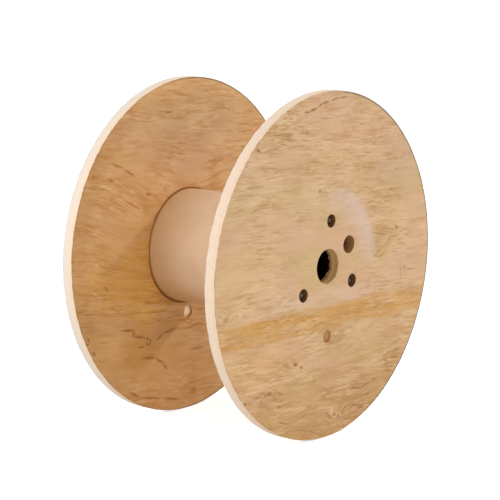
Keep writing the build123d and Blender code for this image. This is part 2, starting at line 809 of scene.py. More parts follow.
    def _ringed(self, coat: Coat, place: FacePlace) -> None:
        """Lay the ring marks, which fade out to both ends of their arcs.

        Args:
            coat: The colour in work.
            place: The place on the face.
        """
        tree = coat.tree
        radius = add_node(tree, "VectorMath", (place.plain,), operation="LENGTH")
        towards = add_node(tree, "VectorMath", (place.plain,), operation="NORMALIZE")
        for mark in self.rings:
            away = coat.away(radius, mark.radius)
            middle = (0, *on_circle(1, mark.middle_deg))
            facing = add_node(tree, "VectorMath", (towards, middle), operation="DOT_PRODUCT")
            ends = (facing, mark.none_at, mark.full_at, 0.0, 1.0)
            arc = add_node(tree, "MapRange", ends, interpolation_type="SMOOTHSTEP")
            span = (mark.half_width, 0.4 * mark.half_width)
            coat.lay(mark.colour, away, span, mark.amount, arc, Rise.SOFT)


@dataclass(frozen=True)
class SawnPlies(Finish):
    """The cut edge of plywood, where its cross-laid veneers show as stripes.

    Veneers cut along their grain show pale and smooth, those cut across it show darker end
    grain, and the glue between them is a thin dark line. The face veneers' edges are darker:
    browned by the cutter, and on the left flange's bores painted shade. From the depth
    pale_from_mm to pale_to_mm the plies turn paler, which on the left rim is painted light.
    """

    seed: float = 0.0
    long_grain: str = "E6D0B5"
    end_grain: str = "DEC4B2"
    glue: str = "BA9D84"
    face_edge: str = "94693F"
    face_edge_mm: float = 1.0
    least_edge_share: float = 0.1
    contrast: float = 0.5
    pale: str = "E4D8CE"
    pale_from_mm: float = 6.0
    pale_to_mm: float = 17.0
    pale_share: float = 0.0
    wander_mm: float = 0.7
    wander_length_mm: float = 40.0
    pore_mm: float = 3.0
    edge_stretch_mm: float = 9.0

    def paint(self, tree: NodeTree) -> dict[str, object]:
        """Add the nodes of the stripes, dullness and fine relief.

        Args:
            tree: The material's node tree.

        Returns:
            What the shader's inputs take, by their names.
        """
        place = add_node(tree, "TexCoord").outputs["Object"]
        station = add_node(tree, "SeparateXYZ", (place,)).outputs["X"]
        side = add_node(tree, "Math", (station,), operation="ABSOLUTE")
        under = (side, -1 / MM, SIZES.outer_face_mm)
        depth = add_node(tree, "Math", under, operation="MULTIPLY_ADD")
        coat = Coat(tree, linear(self.long_grain))
        across = self._plies(coat, place, depth)
        # Saw marks and pores are finer than half a millimetre, and drawn 3 mm across to show
        grit = {"Vector": place, "Scale": 1 / (self.pore_mm * MM), "Detail": 4.0, "Roughness": 0.6}
        pores = add_node(tree, "TexNoise", grit)
        coat.lay(self.glue, pores, (0.52, 0.75), 0.5 * self.contrast)
        away = coat.away(across, 0.5)
        line = coat.lay(self.glue, away, (0.40, 0.49), 0.55 * self.contrast)
        self._brown(coat, place, depth)
        height = add_node(tree, "Math", (pores, line), operation="SUBTRACT")
        sawing = {"Height": height, "Strength": 0.35, "Distance": 0.2 * MM}
        return {
            "Base Color": coat.tone,
            "Normal": add_node(tree, "Bump", sawing),
            "Roughness": 0.7,
            "IOR": 1.5,
            "Specular IOR Level": 0.3,
        }

    def _plies(self, coat: Coat, place: NodeSocket, depth: Node) -> Node:
        """Lay the stripes of the plies.

        Args:
            coat: The colour in work.
            place: The place on the drum, in metres.
            depth: The depth under the outer face, in millimetres.

        Returns:
            The node that gives how far through its ply a place is, from 0 to 1.
        """
        tree = coat.tree
        # Plies are about 2 mm thick, and vary by some tenths over 40 mm of the edge
        spread = add_node(tree, "VectorMath", (place, (0.2, 1.0, 1.0)), operation="MULTIPLY")
        slow = {"Vector": spread, "Scale": 1 / (self.wander_length_mm * MM), "W": self.seed}
        waver = add_node(tree, "TexNoise", slow, noise_dimensions="4D")
        wander = add_node(tree, "Math", (waver, self.wander_mm, depth), operation="MULTIPLY_ADD")
        plies_a_mm = SIZES.plies / SIZES.board_mm
        count = add_node(tree, "Math", (wander, plies_a_mm), operation="MULTIPLY")
        ply = add_node(tree, "Math", (count,), operation="FLOOR")
        # Every other ply is cut across its grain, and no two show it alike
        odd = add_node(tree, "Math", (ply, 2.0), operation="PINGPONG")
        lot = add_node(tree, "TexWhiteNoise", {"W": ply}, noise_dimensions="1D")
        cross = add_node(tree, "Math", (lot, 0.5, odd), operation="MULTIPLY_ADD")
        coat.lay(self.end_grain, cross, (0.2, 1.4), self.contrast)
        coat.lay(self.pale, depth, (self.pale_from_mm, self.pale_to_mm), self.pale_share)
        return add_node(tree, "Math", (count,), operation="FRACT")

    def _brown(self, coat: Coat, place: NodeSocket, depth: Node) -> None:
        """Lay the darker edges of the two face veneers, broken up along the cut: browned by the
        cutter, and painted shade on the left flange's bores.

        Args:
            coat: The colour in work.
            place: The place on the drum, in metres.
            depth: The depth under the outer face, in millimetres.
        """
        tree = coat.tree
        half = SIZES.board_mm / 2
        away = coat.away(depth, half)
        # They are darker in stretches of about 9 mm
        finely = 1 / (self.edge_stretch_mm * MM)
        stretches = {"Vector": place, "Scale": finely, "Detail": 3.0, "W": self.seed + 7}
        broken = add_node(tree, "TexNoise", stretches, noise_dimensions="4D")
        darker_share = add_node(tree, "MapRange", (broken, 0.46, 0.62, self.least_edge_share, 0.9))
        edge = half - self.face_edge_mm
        coat.lay(self.face_edge, away, (edge - 0.5, edge), strength=darker_share)


@dataclass(frozen=True)
class WoundKraftBoard(Finish):
    """Kraft paper wound in a spiral and glued into a tube, its skin pressed smooth and dull.

    The skin is even in colour, with faint clouds of fibre, and the edge of its last strip runs
    round the tube as a hair-thin seam. Towards its ends and its underside it is painted
    browner, as painted shade.
    """

    skin: str = "DABA9A"
    cloud: str = "CEAB88"
    seam: str = "B58F6C"
    flange_shade: str = "CEA267"
    underside_shade: str = "BC8946"
    stained: str = "CC8A48"
    cloud_mm: float = 38.0
    flange_shade_reach_mm: float = 70.0
    fibre_mm: float = 4.0
    seam_pitch_mm: float = 165.0
    seam_half_width_mm: float = 0.7

    def paint(self, tree: NodeTree) -> dict[str, object]:
        """Add the nodes of the board's colour, seam and fibre relief.

        Args:
            tree: The material's node tree.

        Returns:
            What the shader's inputs take, by their names.
        """
        place = add_node(tree, "TexCoord").outputs["Object"]
        metres = add_node(tree, "VectorMath", (place, SIZES.at(0, 0, 0)), operation="SUBTRACT")
        parts = add_node(tree, "SeparateXYZ", (metres,)).outputs
        coat = Coat(tree, linear(self.skin))
        # The paper's fibres lie in clouds of about 38 mm
        cloudy = {"Vector": metres, "Scale": 1 / (self.cloud_mm * MM), "Detail": 3.0}
        coat.lay(self.cloud, add_node(tree, "TexNoise", cloudy), (0.42, 0.68), 0.5)
        # Painted shade: the skin is painted browner over its last 70 mm towards each flange, where
        # the flanges shade it and cast their warm bounce on it. Resin from the flanges has stained
        # the edge that stands in the groove. The underside is painted browner, as painted shade
        side = add_node(tree, "Math", (parts["X"],), operation="ABSOLUTE")
        face = (SIZES.outer_face_mm - SIZES.board_mm) * MM
        coat.lay(self.flange_shade, side, (face - self.flange_shade_reach_mm * MM, face), 0.65)
        coat.lay(self.stained, side, (face - 0.6 * MM, face + 0.2 * MM), 0.9)
        # Painted shade: the underside is painted browner
        coat.lay(self.underside_shade, parts["Z"], (-25 * MM, -80 * MM), 0.6, rise=Rise.SOFT)
        # Paper fibres are 2 mm long, and drawn 4 mm long to show
        fibres = {"Vector": metres, "Scale": 1 / (self.fibre_mm * MM), "Detail": 4.0}
        fibre = add_node(tree, "TexNoise", fibres)
        coat.lay(self.seam, fibre, (0.55, 0.72), 0.16)
        turn = add_node(tree, "Math", (parts["Z"], parts["Y"]), operation="ARCTAN2")
        turns = add_node(tree, "Math", (turn, 1 / (2 * math.pi)), operation="MULTIPLY")
        winding = (parts["X"], 1 / (self.seam_pitch_mm * MM), turns)
        climb = add_node(tree, "Math", winding, operation="MULTIPLY_ADD")
        in_turn = add_node(tree, "Math", (climb,), operation="FRACT")
        away = coat.away(in_turn, 0.5)
        # The strip's edge is 0.3 mm wide, and drawn about 1 mm wide to show
        line = coat.lay(self.seam, away, (self.seam_half_width_mm / self.seam_pitch_mm, 0.0), 0.28)
        height = add_node(tree, "Math", (fibre, line), operation="SUBTRACT")
        pressing = {"Height": height, "Strength": 0.2, "Distance": 0.1 * MM}
        return {
            "Base Color": coat.tone,
            "Normal": add_node(tree, "Bump", pressing),
            "Roughness": 0.68,
            "IOR": 1.5,
            "Specular IOR Level": 0.4,
        }


@dataclass(frozen=True)
class DullZinc(Finish):
    """Rolled and cold-headed steel with a thin zinc plating that has gone dull.

    The plating gives a soft grey gleam in patches, and sawdust and grease dull it in others.
    """

    bright: str = "6E5840"
    dull: str = "20170F"
    patch_mm: float = 2.6

    def paint(self, tree: NodeTree) -> dict[str, object]:
        """Add the nodes of the plating's patches.

        Args:
            tree: The material's node tree.

        Returns:
            What the shader's inputs take, by their names.
        """
        place = add_node(tree, "TexCoord").outputs["Object"]
        grimy = {"Vector": place, "Scale": 1 / (self.patch_mm * MM), "Detail": 3.0}
        patches = add_node(tree, "TexNoise", grimy)
        coat = Coat(tree, linear(self.bright))
        share = coat.lay(self.dull, patches, (0.38, 0.64))
        rolling = {"Height": patches, "Strength": 0.15, "Distance": 0.05 * MM}
        return {
            "Base Color": coat.tone,
            "Normal": add_node(tree, "Bump", rolling),
            "Roughness": add_node(tree, "MapRange", (share, 0.0, 1.0, 0.32, 0.55)),
            "Metallic": 1.0,
        }


@dataclass
class PlywoodFlange:
    """A round plywood flange with its ring groove, holes and bolt recesses."""

    side: FlangeSide
    finishes: dict[PlySurface, Finish]
    rim_segments: int = 900
    groove_segments: int = 288
    arbor_segments: int = 256
    drive_segments: int = 128
    small_hole_segments: int = 112
    rim_slack_mm: float = 0.05
    rim_arris_mm: float = 0.8
    hole_arris_mm: float = 0.6
    least_arris_mm: float = 0.15
    arris_steps: int = 3
    wear_length_mm: float = 11.0
    ply_relief_mm: float = 0.07
    ply_step_mm: float = 0.1
    sheet_spacing_mm: float = 12.0
    pad: MeshPad = field(init=False)

    def __post_init__(self) -> None:
        """Count the mesh's places along X as depths under the outer face."""
        self.pad = MeshPad(lambda depth: self.side.value * (SIZES.outer_face_mm - depth))

    def build(self) -> list[Object]:
        """Build and dress the flange, in the place of its CAD node."""
        rim = self._rim()
        drive_centre = on_circle(SIZES.drive_circle_mm, SIZES.drive_angle_deg)
        start_centre = (0.0, -SIZES.start_circle_mm)
        small = self.small_hole_segments
        arbor = self._bore(AXIS, SIZES.arbor_radius_mm, self.arbor_segments, 5.0)
        drive = self._bore(
            drive_centre,
            SIZES.drive_radius_mm,
            self.drive_segments,
            1.2,
            wall=PlySurface.SHADED_DRIVE_WALL,
        )
        start = self._bore(start_centre, SIZES.start_radius_mm, small, 0.6)
        recesses = [self._recess(angle) for angle in SIZES.bolt_angles_deg]
        outer_holes = [arbor[0], drive[0], start[0], *(pair[0] for pair in recesses)]
        wall, core = self._groove()
        core_holes = [arbor[1], drive[1], *(pair[1] for pair in recesses)]
        for loops, surface in (
            ([rim[0], *outer_holes], PlySurface.OUTER_VENEER),
            ([rim[1], wall, start[1]], PlySurface.INNER_VENEER),
            ([core, *core_holes], PlySurface.INNER_VENEER),
        ):
            self.pad.sheet(loops, self.sheet_spacing_mm, surface)
        side = self.side.name.lower()
        materials = [self.finishes[surface].material() for surface in PlySurface]
        made = self.pad.make(f"plywood_flange_{side}", materials)
        return [attach(made, Slot.PLYWOOD, f"flange_{side}")]

    def _ragged(self, salt: float, reach: float, usual: float, chip: float) -> ByAngle:
        """How far an arris is worn back, by the angle round it.

        Args:
            salt: A number that sets this arris apart from the others.
            reach: The arris's radius in millimetres.
            usual: Its usual width in millimetres.
            chip: How much further the largest chips go, in millimetres.

        Returns:
            A function of the angle in radians that gives the width in millimetres.
        """
        # Deep chips are longer, and crowd where a drill came out of the back
        chip_length = 2.4 + 0.4 * chip
        threshold = 0.3 - 0.06 * min(chip, 5.0)

        def width(turn: float) -> float:
            """Width of the arris at an angle."""
            where = Vector((reach * math.cos(turn), reach * math.sin(turn), salt))
            worn = 1 + 0.5 * smooth_noise.noise(where / self.wear_length_mm)
            torn = smooth_noise.noise(where / chip_length + Vector((0, 0, 9)))
            broken = min(1.0, max(0.0, torn - threshold) / 0.4)
            return max(self.least_arris_mm, usual * worn + chip * broken)

        return width

    def _arris(
        self, width: Callable[[float], float], edge: float, inwards: int, reach: float
    ) -> list[tuple[ByAngle, ByAngle]]:
        """Profile of a worn arris, from the face to the wall.

        Args:
            width: The arris's width by the angle.
            edge: The face's depth in millimetres.
            inwards: 1 if the board lies at greater depths than the face, else -1.
            reach: The wall's radius in millimetres, negative for a hole's wall.

        Returns:
            The depth and the radius of each ring.
        """
        profile = []
        for step in range(self.arris_steps + 1):
            turn = math.pi / 2 * step / self.arris_steps
            profile.append(
                (
                    lambda a, c=1 - math.cos(turn): edge + inwards * width(a) * c,
                    lambda a, s=1 - math.sin(turn): abs(reach - width(a) * s),
                )
            )
        return profile

    def _wall(self, radius: float, top: float, bottom: float, salt: int, back: int) -> Profile:
        """Profile of a cut wall, each ply of which stands back a little.

        Args:
            radius: The wall's radius in millimetres.
            top: The wall's first depth in millimetres.
            bottom: Its last depth in millimetres.
            salt: A number that sets this wall apart from the others.
            back: 1 if back is away from the wall's axis, as in a hole, else -1.

        Returns:
            The depth and the radius of each ring.
        """
        draw = np.random.default_rng(salt + 5)
        relief = draw.uniform(0, self.ply_relief_mm, SIZES.plies + 1)
        thickness = SIZES.board_mm / SIZES.plies
        rows = [
            (ply * thickness + shift, radius + back * float(relief[row]))
            for ply in range(1, SIZES.plies)
            for shift, row in ((-self.ply_step_mm, ply - 1), (self.ply_step_mm, ply))
        ]
        return [(depth, reach) for depth, reach in rows if top < depth < bottom]

    def _rim(self) -> tuple[Loop, Loop]:
        """The sawn rim between its two arrises.

        Returns:
            The loops at the outer and at the inner face.
        """
        radius = SIZES.flange_radius_mm - self.rim_slack_mm
        salt = 2.0 + self.side.value
        outer = self._ragged(salt, radius, self.rim_arris_mm, 0.4)
        inner = self._ragged(salt + 20, radius, self.rim_arris_mm, 0.4)
        margin = 2 * self.rim_arris_mm
        profile = [
            *self._arris(outer, 0, 1, radius),
            *self._wall(radius, margin, SIZES.board_mm - margin, 3, -1),
            *reversed(self._arris(inner, SIZES.board_mm, -1, radius)),
        ]
        rings = self.pad.rings(profile, self.rim_segments)
        # Each arris takes the face veneer's colour for two thirds of its way
        self.pad.skin(rings[:3], PlySurface.OUTER_VENEER.value)
        self.pad.skin(rings[2:-2], PlySurface.SAWN_RIM.value)
        self.pad.skin(rings[-3:], PlySurface.INNER_VENEER.value)
        return Loop(rings[0]), Loop(rings[-1])

    def _bore(
        self,
        centre: tuple[float, float],
        radius: float,
        segments: int,
        ragged_mm: float,
        wall: PlySurface = PlySurface.BORED_WALL,
    ) -> tuple[Loop, Loop]:
        """The wall of a drilled hole, crisp where the drill went in and torn where it came out.

        Args:
            centre: The hole's y and z, in millimetres from the drum's axis.
            radius: The hole's radius in millimetres.
            segments: How many points each ring has.
            ragged_mm: How far the chips go where the drill came out.
            wall: The wall's surface.

        Returns:
            The loops at the outer and at the inner face.
        """
        salt = radius + centre[0] / 7 + centre[1] / 9 + 3 * self.side.value
        entry = self._ragged(salt, radius, self.hole_arris_mm, 0.5)
        leave = self._ragged(salt + 40, radius, 0.3, ragged_mm)
        bottom = SIZES.board_mm - 0.5 - ragged_mm
        profile = [
            *self._arris(entry, 0, 1, -radius),
            *self._wall(radius, 1.0, bottom, int(abs(salt)), 1),
            *reversed(self._arris(leave, SIZES.board_mm, -1, -radius)),
        ]
        rings = self.pad.rings(profile, segments, centre)
        self.pad.skin(rings[:3], PlySurface.SAWN_RIM.value)
        self.pad.skin(rings[2:], wall.value)
        return Loop(rings[0], centre), Loop(rings[-1], centre)

    def _recess(self, angle_deg: float) -> tuple[Loop, Loop]:
        """A bolt's stepped hole: the recess, its floor and the hole for the shank.

        Args:
            angle_deg: The bolt's angle about the drum's axis.

        Returns:
            The loops at the outer and at the inner face.
        """
        centre = on_circle(SIZES.bolt_circle_mm, angle_deg)
        radius, floor = SIZES.recess_radius_mm, SIZES.recess_depth_mm
        shank = SIZES.bolt_hole_radius_mm
        entry = self._ragged(angle_deg, radius, self.hole_arris_mm, 0.6)
        leave = self._ragged(angle_deg + 3, shank, 0.25, 0.4)
        profile = [
            *self._arris(entry, 0, 1, -radius),
            *self._wall(radius, 1.0, floor - 0.3, int(abs(angle_deg)), 1),
            (floor, radius),
            (floor, shank),
            *reversed(self._arris(leave, SIZES.board_mm, -1, -shank)),
        ]
        rings = self.pad.rings(profile, self.small_hole_segments, centre)
        self.pad.skin(rings[:2], PlySurface.SAWN_RIM.value)
        self.pad.skin(rings[1:], PlySurface.BOLT_RECESS.value)
        return Loop(rings[0], centre), Loop(rings[-1], centre)

    def _groove(self) -> tuple[Loop, Loop]:
        """The ring groove for the barrel tube's end.

        Returns:
            The loops of its outer and of its inner wall at the inner face.
        """
        face, floor = SIZES.board_mm, SIZES.board_mm - SIZES.groove_depth_mm
        outside, inside = SIZES.groove_outer_mm, SIZES.groove_inner_mm
        outer = self._ragged(61.0, outside, self.rim_arris_mm, 0.6)
        inner = self._ragged(67.0, inside, 0.25, 0.5)
        profile = [
            *self._arris(outer, face, -1, -outside),
            (floor, outside),
            (floor, inside),
            *reversed(self._arris(inner, face, -1, inside)),
        ]
        rings = self.pad.rings(profile, self.groove_segments)
        self.pad.skin(rings, PlySurface.ROUTED_GROOVE.value)
        return Loop(rings[0]), Loop(rings[-1])


@dataclass
class BarrelTube:
    """The kraft-board tube that the cable is wound on, seated in both ring grooves."""

    skin: Finish
    core: Finish
    segments: int = 288
    rows: int = 40
    end_round_mm: float = 0.6
    out_of_round_mm: float = 0.12
    wave_mm: float = 90.0
    waves_round: float = 1.4

    def build(self) -> list[Object]:
        """Build and dress the tube, in the place of its CAD node."""
        pad = MeshPad()
        end = SIZES.outer_face_mm - SIZES.board_mm + SIZES.groove_depth_mm
        outside = SIZES.tube_radius_mm
        inside = outside - SIZES.tube_wall_mm
        soft = self.end_round_mm
        reach = end - soft
        profile = [(-reach + 2 * reach * n / self.rows, outside) for n in range(self.rows + 1)]
        profile += [
            (end - 0.3 * soft, outside - 0.3 * soft),
            (end, outside - soft),
            (end, inside + soft),
            (end - soft, inside),
            (soft - end, inside),
            (-end, inside + soft),
            (-end, outside - soft),
            (0.3 * soft - end, outside - 0.3 * soft),
        ]
        wound = [(x, self._wound(x, radius)) for x, radius in profile]
        rings = pad.rings(wound, self.segments)
        # Skin on the outside, core board on the ends and inside
        skin_rings = self.rows + 3
        pad.skin(rings[:skin_rings], 0)
        pad.skin([*rings[skin_rings - 1 :], rings[0]], 1)
        made = pad.make("kraft_barrel_tube", [self.skin.material(), self.core.material()])
        return [attach(made, Slot.KRAFT_BOARD, "barrel_tube")]

    def _wound(self, x: float, radius: float) -> ByAngle:
        """Radius of a ring that is a little out of round, as wound tubes are.

        Args:
            x: The ring's station in millimetres.
            radius: Its largest radius in millimetres.

        Returns:
            A function of the angle in radians that gives the radius in millimetres.
        """

        def reach(turn: float) -> float:
            """Radius at an angle."""
            y, z = self.waves_round * math.cos(turn), self.waves_round * math.sin(turn)
            sag = 0.5 + 0.5 * smooth_noise.noise(Vector((x / self.wave_mm, y, z)))
            return radius - self.out_of_round_mm * sag

        return reach


@dataclass
class TieBolt:
    """One M8 tie bolt with its nut and its two washers."""

    number: int
    angle_deg: float
    hex_turn_deg: float
    finish: Finish
    shank_radius_mm: float = 4.0
    thread_root_mm: float = 3.35
    thread_pitch_mm: float = 1.25
    thread_length_mm: float = 32.0
    rings_a_pitch: int = 6
    across_flats_mm: float = 13.0
    crown_inset_mm: float = 0.35
    crown_slope_deg: float = 30.0
    head_height_mm: float = 5.3
    head_dish_mm: float = 0.25
    nut_height_mm: float = 4.0
    tail_mm: float = 1.6
    end_chamfer_mm: float = 1.0
    nut_bore_mm: float = 4.1
    countersink_mm: float = 0.5
    washer_radius_mm: float = 8.0
    washer_bore_mm: float = 4.2
    washer_thickness_mm: float = 1.6
    washer_round_mm: float = 0.2
    segments: int = 72
    crease_deg: float = 30.0

    def build(self) -> list[Object]:
        """Build and dress the bolt, nut and washers, in the places of their CAD nodes."""
        material = self.finish.material()
        floor = SIZES.outer_face_mm - SIZES.recess_depth_mm
        return [
            attach(
                pad.make(f"{name}_{self.number}", [material], self.crease_deg),
                Slot.BRIGHT_STEEL,
                f"{node}_{self.number}",
            )
            for name, node, pad in (
                ("threaded_tie_bolt", "tie_bolt", self._bolt()),
                ("crowned_nut", "nut", self._nut()),
                ("nut_side_washer", "nut_washer", self._washer(floor)),
                ("head_side_washer", "head_washer", self._washer(-self.seat_mm)),
            )
        ]

    @property
    def seat_mm(self) -> float:
        """Station of the washer's outer side, where head and nut sit."""
        return SIZES.outer_face_mm - SIZES.recess_depth_mm + self.washer_thickness_mm

    def _turned(self, profile: Profile, closed: bool = True) -> MeshPad:
        """Turn a profile about the bolt's axis.

        Args:
            profile: Each ring's station and radius, in millimetres.
            closed: Whether the last ring joins the first, or both ends are closed flat.

        Returns:
            The mesh in work.
        """
        pad = MeshPad()
        centre = on_circle(SIZES.bolt_circle_mm, self.angle_deg)
        rings = pad.rings(profile, self.segments, centre)
        if closed:
            pad.skin([*rings, rings[0]])
        else:
            pad.skin(rings)
            pad.fan(rings[0])
            pad.fan(rings[-1])
        return pad

    def _hex_radius(self, turn: float) -> float:
        """Radius of the hexagon at an angle in radians."""
        off = (turn - math.radians(self.hex_turn_deg)) % (math.pi / 3) - math.pi / 6
        return self.across_flats_mm / 2 / math.cos(off)

    def _hexagon(self, seat: float, height: float, side: int) -> Profile:
        """Profile of a hexagon block, from its crowned top to its seat.

        Args:
            seat: The station it sits on, in millimetres.
            height: Its height in millimetres.
            side: 1 if its top looks towards +X, else -1.

        Returns:
            The station and radius of each ring.
        """
        crown = self.across_flats_mm / 2 - self.crown_inset_mm
        slope = math.tan(math.radians(self.crown_slope_deg))

        def drop(turn: float) -> float:
            """How far the crown has cut the corner down at an angle."""
            return max(0.0, self._hex_radius(turn) - crown) * slope

        return [
            (seat + side * height, crown),
            (lambda a: seat + side * (height - drop(a)), self._hex_radius),
            (lambda a: seat + side * 0.2 * drop(a), self._hex_radius),
            (seat, crown),
        ]

    def _bolt(self) -> MeshPad:
        """The bolt: crowned and dished hexagon head, shank, and a cut thread at its end."""
        seat, shank = -self.seat_mm, self.shank_radius_mm
        top = seat - self.head_height_mm
        end = self.seat_mm + self.nut_height_mm + self.tail_mm
        start = end - self.thread_length_mm
        step = self.thread_pitch_mm / self.rings_a_pitch
        thread = [start + n * step for n in range(int(self.thread_length_mm / step) + 1)]
        profile = [
            (top + self.head_dish_mm, shank),
            (top, shank + 2 * self.head_dish_mm),
            *self._hexagon(seat, self.head_height_mm, -1),
            (seat, shank),
            (start - 1.0, shank),
            *((x, self._thread(x, end)) for x in (*thread, end)),
        ]
        return self._turned(profile, closed=False)

    def _thread(self, x: float, end: float) -> ByAngle:
        """Radius of the thread at a station.

        Args:
            x: The station in millimetres.
            end: The station of the bolt's end.

        Returns:
            A function of the angle in radians that gives the radius in millimetres.
        """
        depth = self.shank_radius_mm - self.thread_root_mm
        chamfer = self.shank_radius_mm - self.end_chamfer_mm + (end - x)

        def radius(turn: float) -> float:
            """Radius at an angle, cut down by the end's chamfer."""
            place = (x / self.thread_pitch_mm - turn / (2 * math.pi)) % 1.0
            ridge = 1 - abs(2 * place - 1)
            return min(self.shank_radius_mm - depth * (1 - min(1.0, 1.25 * ridge)), chamfer)

        return radius

    def _nut(self) -> MeshPad:
        """The nut: a hexagon block crowned on both sides, with a countersunk bore."""
        seat, bore, sink = self.seat_mm, self.nut_bore_mm, self.countersink_mm
        top = seat + self.nut_height_mm
        profile = [
            *self._hexagon(seat, self.nut_height_mm, 1),
            (seat, bore + 0.8 * sink),
            (seat + 0.8 * sink, bore),
            (top - sink, bore),
            (top, bore + sink),
        ]
        return self._turned(profile)

    def _washer(self, low: float) -> MeshPad:
        """A stamped washer with softly rounded edges.

        Args:
            low: The station of its lower side in millimetres.

        Returns:
            The mesh in work.
        """
        soft, high = self.washer_round_mm, low + self.washer_thickness_mm
        inside, outside = self.washer_bore_mm, self.washer_radius_mm
        profile = [
            (low, inside + soft),
            (low, outside - soft),
            (low + soft, outside),
            (high - soft, outside),
            (high, outside - soft),
            (high, inside + soft),
            (high - soft, inside),
            (low + soft, inside),
        ]
        return self._turned(profile)


@dataclass(frozen=True)
class Softbox:
    """A square lamp that looks at the drum, in metres and watts."""

    name: str
    place: tuple[float, float, float]
    width: float
    power: float

    def hang(self) -> None:
        """Add the lamp to the scene."""
        data = bpy.data.lights.new(self.name, "AREA")
        data.size, data.energy = self.width, self.power
        lamp = bpy.data.objects.new(self.name, data)
        lamp.location = self.place
        lamp.rotation_mode = "QUATERNION"
        towards = SIZES.at(0, 0, 0) - Vector(self.place)
        lamp.rotation_quaternion = towards.to_track_quat("-Z", "Y")
        bpy.context.scene.collection.objects.link(lamp)


@dataclass
class Studio:
    """The plain pale floor, the soft lamps, the white surroundings and the camera."""

    azimuth_deg: float = 39.067
    elevation_deg: float = 11.027
    distance: float = 3.3336
    lens_mm: float = 164.725
    sensor_mm: float = 36.0
    side_shift: float = -0.0016
    rise: float = 0.00647
    floor_size: float = 14.0
    floor_colour: str = "ECECEC"
    floor_glow: float = 0.6
    surroundings: float = 0.77
    # A small lamp high on the right, whose light grazes the barrel and lays its shadow on the
    # left flange, and softboxes beside, above and behind the drum for its rims
    lamps: tuple[Softbox, ...] = (
        Softbox("small_lamp_right", (1.41, 2.21, 1.70), 0.18, 23.0),
        Softbox("softbox_left", (-0.95, -2.5, 1.2), 0.9, 14.0),
        Softbox("softbox_above", (-0.1, -0.7, 2.2), 1.0, 6.0),
        Softbox("softbox_behind", (-1.9, -1.9, 0.8), 1.3, 20.0),
    )

    def build(self) -> None:
        """Set up everything round the drum."""
        bpy.context.scene.view_settings.view_transform = "Standard"
        self._camera()
        self._floor()
        self._world()
        for lamp in self.lamps:
            lamp.hang()

    def _camera(self) -> None:
        """Add the camera at the photograph's viewing angle."""
        a, e = math.radians(self.azimuth_deg), math.radians(self.elevation_deg)
        back = Vector((math.sin(a) * math.cos(e), -math.cos(a) * math.cos(e), math.sin(e)))
        right = Vector((math.cos(a), math.sin(a), 0))
        up = back.cross(right)
        data = bpy.data.cameras.new("camera")
        data.lens, data.sensor_width = self.lens_mm, self.sensor_mm
        camera = bpy.data.objects.new("camera", data)
        place = SIZES.at(0, 0, 0) + back * self.distance + up * self.rise + right * self.side_shift
        axes = Matrix((right, up, back)).transposed().to_4x4()
        camera.matrix_world = Matrix.Translation(place) @ axes
        bpy.context.scene.collection.objects.link(camera)
        bpy.context.scene.camera = camera

    def _seen(self, tree: NodeTree) -> Node:
        """Add the nodes that tell rays by which the surroundings are seen from those that light.

        Args:
            tree: The material's or world's node tree.

        Returns:
            The node that gives 1 for a ray by which they are seen, also in gloss or glass.
        """
        path = add_node(tree, "LightPath").outputs
        straight = (path["Is Camera Ray"], path["Is Glossy Ray"])
        seen = add_node(tree, "Math", straight, operation="MAXIMUM")
        through = (seen, path["Is Transmission Ray"])
        return add_node(tree, "Math", through, operation="MAXIMUM")

    def _floor(self) -> None:
        """Add the floor, which the camera sees as white with the drum's shadow on it."""
        half = self.floor_size / 2
        mesh = bpy.data.meshes.new("pale_floor")
        corners = [(-half, -half, 0), (half, -half, 0), (half, half, 0), (-half, half, 0)]
        mesh.from_pydata([Vector(c) for c in corners], [], [(0, 1, 2, 3)])
        floor = bpy.data.objects.new("pale_floor", mesh)
        made = bpy.data.materials.new("pale_floor")
        made.use_nodes = True
        tree = made.node_tree
        tree.nodes.clear()
        glow = add_node(tree, "Math", (self._seen(tree), self.floor_glow), operation="MULTIPLY")
        board = add_node(tree, "BsdfDiffuse", {"Color": linear(self.floor_colour)})
        white = add_node(tree, "Emission", {"Color": linear("FFFFFF"), "Strength": glow})
        both = add_node(tree, "AddShader", (board, white))
        add_node(tree, "OutputMaterial", {"Surface": both})
        mesh.materials.append(made)
        bpy.context.scene.collection.objects.link(floor)

    def _world(self) -> None:
        """Add soft light from all sides, which is plain white where it is seen."""
        world = bpy.data.worlds.new("studio")
        world.use_nodes = True
        tree = world.node_tree
        tree.nodes.clear()
        levels = (self._seen(tree), 0.0, 1.0, self.surroundings, 1.0)
        strength = add_node(tree, "MapRange", levels)
        white = {"Color": linear("FFFFFF"), "Strength": strength}
        add_node(tree, "OutputWorld", {"Surface": add_node(tree, "Background", white)})
        bpy.context.scene.world = world


